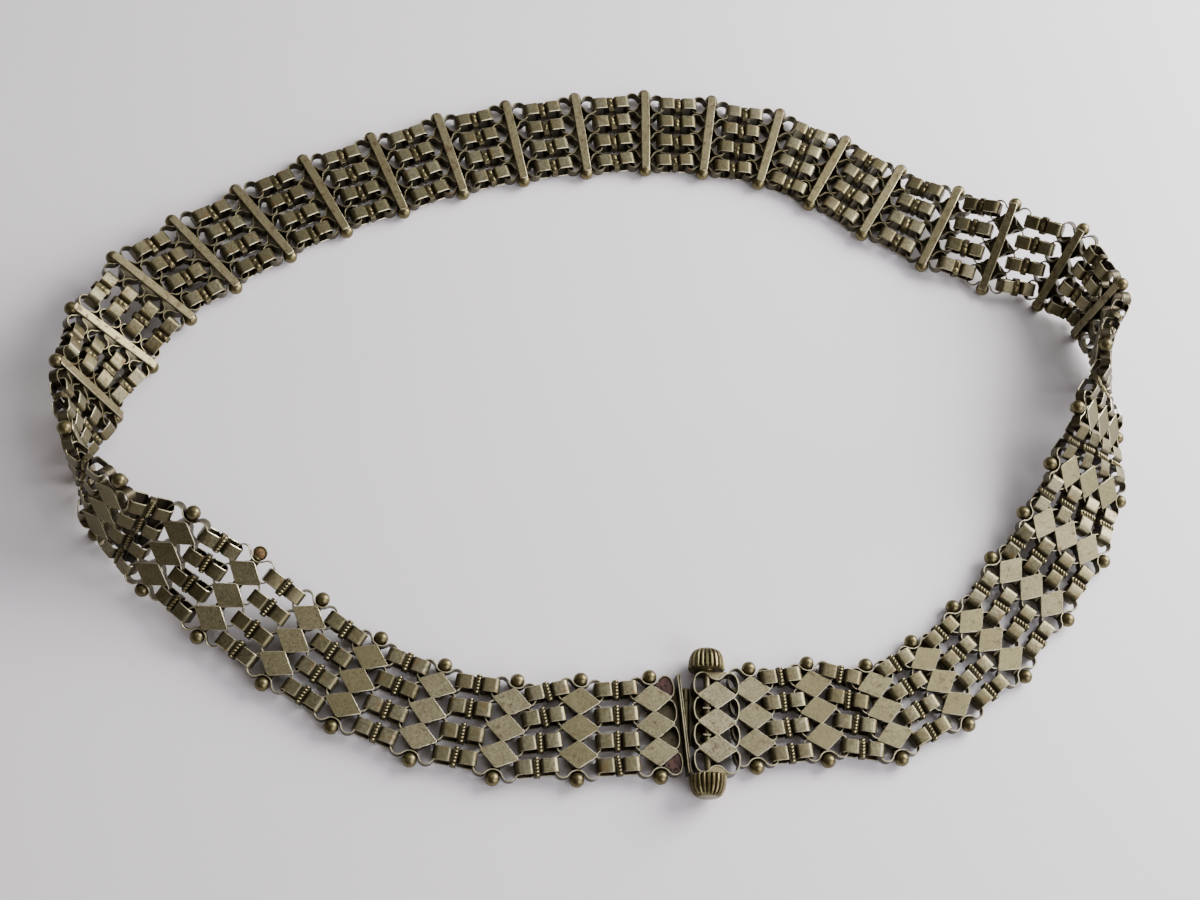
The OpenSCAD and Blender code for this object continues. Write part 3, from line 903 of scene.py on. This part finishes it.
@dataclass
class Clasp:
    """The two end crossings, the pin with its fluted knobs and the resin."""

    course: Course
    shop: CrossingShop
    dress: Wardrobe
    foot: float = 1.4
    pin_radius: float = 1.0
    pin_offset: float = 2.8
    knob_radius: float = 5.75
    knob_length: float = 6.6
    knob_face: float = 16.5
    collar_start: float = 16.2
    collar_radius: float = 2.2
    collar_length: float = 0.8
    flutes: int = 22
    flute_depth: float = 0.6
    tongue_reach: float = 10.2
    tongue_width: float = 18.0
    tongue_middle: float = 3.0
    tongue_gap: float = 0.3
    tongue_thick: float = 0.8
    roll_radius: float = 1.1
    roll_start: float = 8.6
    eye_offset: float = 4.2
    eye_wall: float = 1.6
    seat_height: float = 3.0
    seat_below: float = 0.2
    seat_half: float = 3.6
    seat_reach: float = 3.5
    floor_half: float = 12.0
    end_wall: float = 8.2
    end_half: float = 15.5
    end_sheet: float = 0.45
    end_step: float = 0.75
    resin_gap: float = 0.32
    resin_start: float = 0.9

    def block(self, low: Sequence[float], high: Sequence[float], edge: float,
              finish: Finish, dirt_and_shade_level: float) -> Mesh:
        """Makes a rectangular bar between two corners: upper faces lightened by wear and a painted
        highlight, the others darkened by painted shade and patina to the given level.
        """
        outline = ((low[0], low[1]), (high[0], low[1]), (high[0], high[1]), (low[0], high[1]))
        mesh = plate_mesh(outline, high[2] - low[2], edge, "block", finish,
                          lambda at, normal: dirt_and_shade_level - 0.8 if normal.z > 0.3 else dirt_and_shade_level)
        mesh.transform(moved(0, 0, low[2]))
        return mesh

    def rod(self, radius: float, length: float, finish: Finish, dirt_and_shade_level: float) -> Mesh:
        """Makes a round rod along y, from y 0, with rounded ends."""
        bm = bmesh.new()
        bmesh.ops.create_cone(bm, cap_ends=True, segments=32, radius1=radius, radius2=radius,
                              depth=length)
        soften(bm, min(0.3, radius * 0.3), 2, 60.0)
        dress_faces(bm, finish, lambda at, normal: dirt_and_shade_level)
        mesh = mesh_of(bm, "rod")
        mesh.transform(turned(-90, "X") @ moved(0, 0, length / 2))
        return mesh

    def knob(self) -> Mesh:
        """Makes a fluted knob along +y: a spun profile pressed in along each flute."""
        profile = rounded(((0.0, 0.0, 0.0), (5.4, 0.0, 0.15), (self.knob_radius, 0.5, 0.25),
                           (5.6, 2.6, 2.5), (5.2, 4.4, 2.5), (4.3, 5.9, 1.2),
                           (3.2, self.knob_length, 0.5), (0.0, self.knob_length, 0.0)), 4)
        bm = bmesh.new()
        verts = [bm.verts.new((p.x, 0.0, p.y)) for p in profile]
        edges = [bm.edges.new(pair) for pair in zip(verts, verts[1:])]
        bmesh.ops.spin(bm, geom=verts + edges, cent=(0, 0, 0), axis=(0, 0, 1), dvec=(0, 0, 0),
                       angle=math.tau, steps=self.flutes * 6, use_merge=True)
        bmesh.ops.remove_doubles(bm, verts=bm.verts, dist=0.01)
        for vert in bm.verts:
            away = math.hypot(vert.co.x, vert.co.y)
            if away > 0.01:
                scale = (away - self.flute_depth * self.groove(vert.co)) / away
                vert.co.x *= scale
                vert.co.y *= scale
        # Flutes darkened by painted shade plus patina, most in the grooves.
        dress_faces(bm, Finish.BRASS, lambda at, normal: 0.95 * self.groove(at))
        mesh = mesh_of(bm, "knob")
        mesh.transform(turned(-90, "X"))
        return mesh

    def groove(self, at: Vector) -> float:
        """Returns how deep in a flute a point of the knob lies, 0 to 1."""
        away, turn = math.hypot(at.x, at.y), math.atan2(at.y, at.x)
        return min(1.0, max(0.0, away - 2.9)) * (0.5 - 0.5 * math.cos(self.flutes * turn)) ** 2.6

    def pin(self) -> bpy.types.Object:
        """Builds the pin with a collar and a fluted knob at each end."""
        piece = Assembly()
        plan = self.course.plan(CLOSING)
        for side in (1.0, -1.0):
            line = plan @ moved(-self.pin_offset, 0, self.knob_radius) @ flipped(side)
            collar = self.rod(self.collar_radius, self.collar_length, Finish.BRASS, 0.4)
            piece.add(self.rod(self.pin_radius, self.knob_face + 1, Finish.BAR, 0.3), line)
            piece.add(collar, line @ moved(0, self.collar_start, 0))
            piece.add(self.knob(), line @ moved(0, self.knob_face, 0))
        return piece.finish("pin_with_knobs", self.dress)

    def seat(self) -> Mesh:
        """Makes the brass seat that fills the notch of a tall strip beside a knob."""
        s = self.shop.sizes
        line = half_side(s.closing_eight, s.closing_eight.outside, s)
        right = [(p.x, p.y) for p in line if p.x <= self.seat_half]
        rim, top = self.seat_half + 0.3, self.seat_reach
        outline = right + [(-x, y) for x, y in right[-2::-1]] + [(-rim, top), (rim, top)]
        # Top lightened by wear and a painted highlight, sides darkened by painted shade and patina.
        return plate_mesh(outline, self.seat_height, 0.3, "seat", Finish.BRASS,
                          lambda at, normal: -0.3 if normal.z > 0.3 else 0.4)

    def right(self) -> bpy.types.Object:
        """Builds the last crossing with the tall closing crossing soldered to it."""
        piece = Assembly()
        self.shop.add(piece, self.course.frame(JOINING))
        plan = self.course.plan(CLOSING)
        s = self.shop.sizes
        top = self.foot + s.tall_wall
        piece.tone = 1.0
        self.shop.strips(piece, plan @ moved(0, 0, self.foot + s.tall_wall / 2), "tall_")
        self.shop.plates(piece, plan @ moved(0, 0, top))
        for side in (1.0, -1.0):
            at = moved(0, s.closing_eight.waist, top - self.seat_below - self.seat_height)
            piece.add(self.seat(), plan @ flipped(side) @ at)
        self.shop.back_bar(piece, plan @ moved(0, 0, self.foot))
        return piece.finish("clasp_right_end", self.dress)

    def left(self) -> bpy.types.Object:
        """Builds the receiving crossing with its floor, double end wall and tongue."""
        piece = Assembly()
        s = self.shop.sizes
        place = self.course.frame(RECEIVING)
        self.shop.add(piece, place)
        low = -s.half_wall - s.bar_thick
        # The floor under the crossing is darkened fully by painted shade.
        piece.add(self.block((s.bar_width / 2, -self.floor_half, low),
                             (self.end_wall, self.floor_half, -s.half_wall), 0.15,
                             Finish.STRIP, 1.1), place)
        # End walls: tops lightened by wear and a painted highlight, sides darkened a little by painted
        # shade.
        for x, height in ((self.end_wall, 5.6), (self.end_wall + self.end_step, 5.0)):
            piece.add(self.block((x, -self.end_half, low),
                                 (x + self.end_sheet, self.end_half, low + height), 0.12,
                                 Finish.STRIP, 0.2), place)
        plan = self.course.plan(CLOSING)
        stop, low = -s.bar_width / 2 - 0.4, self.tongue_gap
        start = self.tongue_middle - self.tongue_width / 2
        # The tongue under the closing crossing is darkened by painted shade.
        piece.add(self.block((-self.tongue_reach, start, low),
                             (stop, start + self.tongue_width, low + self.tongue_thick), 0.15,
                             Finish.PLATE, 0.9), plan)
        roll = self.rod(self.roll_radius, self.tongue_width - 1, Finish.BAR, 0.0)
        piece.add(roll, plan @ moved(-self.roll_start, start + 0.5, low + self.roll_radius))
        # The eyes are darkened a little by painted shade plus patina.
        for y in (-self.eye_offset, self.eye_offset):
            eye = self.block((-self.pin_offset - self.eye_wall, y - 0.3, low),
                             (stop, y + 0.3, self.knob_radius + self.eye_wall), 0.1, Finish.STRIP, 0.4)
            piece.add(eye, plan)
        return piece.finish("clasp_left_end", self.dress)

    def resin(self) -> bpy.types.Object:
        """Builds the resin set in the two outer loops beside the end wall."""
        piece = Assembly()
        s = self.shop.sizes
        place = self.course.frame(RECEIVING)
        inside = offset(eight_line(s.outer_eight, s), -self.resin_gap)
        cell = [(p.x, p.y + s.outer_eight.waist) for p in inside if p.x > self.resin_start]
        middle = Vector((4.3, 11.3))
        cell.sort(key=lambda p: math.atan2(p[1] - middle.y, p[0] - middle.x))
        fill = plate_mesh(cell, s.wall - 0.5, 0.15, "resin", Finish.RESIN, lambda at, normal: 0.0)
        for side in (1.0, -1.0):
            piece.add(fill, place @ flipped(side) @ moved(0, 0, -s.half_wall + 0.1))
        return piece.finish("resin_filling", self.dress)


class Belt:
    """The whole belt, piece by piece, in the place of its solids."""

    def __init__(self) -> None:
        """Sets up the course, the workshops and the materials."""
        chance = random.Random(SEED)
        self.course = Course(SIZES)
        self.dress = Wardrobe()
        self.crossings = CrossingShop(SIZES, chance)
        self.links = LinkShop(SIZES, chance)
        self.clasp = Clasp(self.course, self.crossings, self.dress)

    def settle(self, piece: bpy.types.Object, node: str) -> None:
        """Puts a piece in its node's place."""
        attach(piece, BODY)
        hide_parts(node)
        LOG.info("%s in the place of %s, %d faces", piece.name, node, len(piece.data.polygons))

    def build(self) -> None:
        """Builds every piece in order."""
        for n in range(1, len(COURSE) + 1):
            if n in (JOINING, CLOSING, RECEIVING):
                continue
            piece = Assembly()
            self.crossings.add(piece, self.course.frame(n), broken=n == BROKEN)
            done = piece.finish(f"strip_crossing_{n:02d}", self.dress)
            self.settle(done, f"crossing_{n:02d}")
        self.settle(self.clasp.right(), "clasp_right")
        self.settle(self.clasp.left(), "clasp_left")
        self.settle(self.clasp.resin(), "clasp_resin")
        self.settle(self.clasp.pin(), "clasp_pin")
        s = SIZES
        columns = (-s.outer_column, -s.inner_column, s.inner_column, s.outer_column)
        for k, column in enumerate(columns, start=1):
            piece = Assembly()
            for n in range(1, len(COURSE) + 1):
                if n not in (JOINING, CLOSING):
                    self.links.add(piece, self.course.link_frame(n, column))
            self.settle(piece.finish(f"bow_links_{k}", self.dress), f"links_{k}")


# Surroundings.


@dataclass(frozen=True)
class Studio:
    """Floor, light and camera, in millimetres and degrees."""

    eye: tuple[float, float, float] = (-PLAN_MIDDLE.x, -PLAN_MIDDLE.y, 533.7)
    target: tuple[float, float, float] = (-3.8, -12.2, 0.0)
    roll: float = 17.3
    lens: float = 54.0
    floor_size: float = 4000.0
    floor_colour: str = "#dedadb"
    floor_cloud: str = "#d9d6d8"
    cloud_size: float = 90.0

    def floor(self) -> None:
        """Lays the pale table."""
        bm = bmesh.new()
        bmesh.ops.create_grid(bm, x_segments=1, y_segments=1, size=self.floor_size * MM / 2)
        mesh = mesh_of(bm, "table_top")
        table = NodeTable("table_laminate_matte")
        cloud = table.noise(self.cloud_size, 2.0)
        colour = table.mix(cloud, linear(self.floor_colour), linear(self.floor_cloud))
        table.feed(colour, "Base Color")
        table.shader.inputs["Roughness"].default_value = 0.7
        mesh.materials.append(table.material)
        floor = in_scene("table_top", mesh)

    def lamp(self, name: str, at: tuple[float, float, float], size: float, power: float,
             code: str) -> None:
        """Hangs a square soft light that faces the belt, in metres, watts and sRGB."""
        light = bpy.data.lights.new(name, "AREA")
        light.energy, light.size = power, size
        light.color = linear(code)[:3]
        lamp = in_scene(name, light)
        lamp.location = at
        lamp.rotation_euler = (-Vector(at)).to_track_quat("-Z", "Y").to_euler()

    def light(self) -> None:
        """Lights the table from a window, an open door and a pale ceiling."""
        world = bpy.data.worlds.new("room")
        bpy.context.scene.world = world
        world.use_nodes = True
        sky = world.node_tree.nodes["Background"]
        sky.inputs["Color"].default_value = linear("#dccfbc")
        sky.inputs["Strength"].default_value = 0.24
        self.lamp("window", (0.70, 0.32, 0.43), 0.6, 23.0, "#fffdff")
        self.lamp("door", (0.85, -0.75, 0.70), 1.0, 18.0, "#f6f4ff")
        self.lamp("ceiling", (0.15, 0.55, 0.95), 1.2, 5.0, "#f2f3ff")

    def camera(self) -> None:
        """Sets the camera where the photograph was taken from."""
        data = bpy.data.cameras.new("camera")
        data.lens, data.sensor_width = self.lens, 36.0
        data.clip_start = 0.01
        camera = in_scene("camera", data)
        eye, target = Vector(self.eye) * MM, Vector(self.target) * MM
        aim = (target - eye).to_track_quat("-Z", "Y").to_matrix().to_4x4()
        camera.matrix_world = moved(*eye) @ aim @ turned(self.roll, "Z")
        bpy.context.scene.camera = camera


def main() -> None:
    """Builds the belt, the table, the light and the camera."""
    logging.basicConfig(level=logging.INFO, format="%(name)s: %(message)s")
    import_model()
    Belt().build()
    studio = Studio()
    studio.floor()
    studio.light()
    studio.camera()
    bpy.context.view_layer.update()


if __name__ == "__main__":
    main()
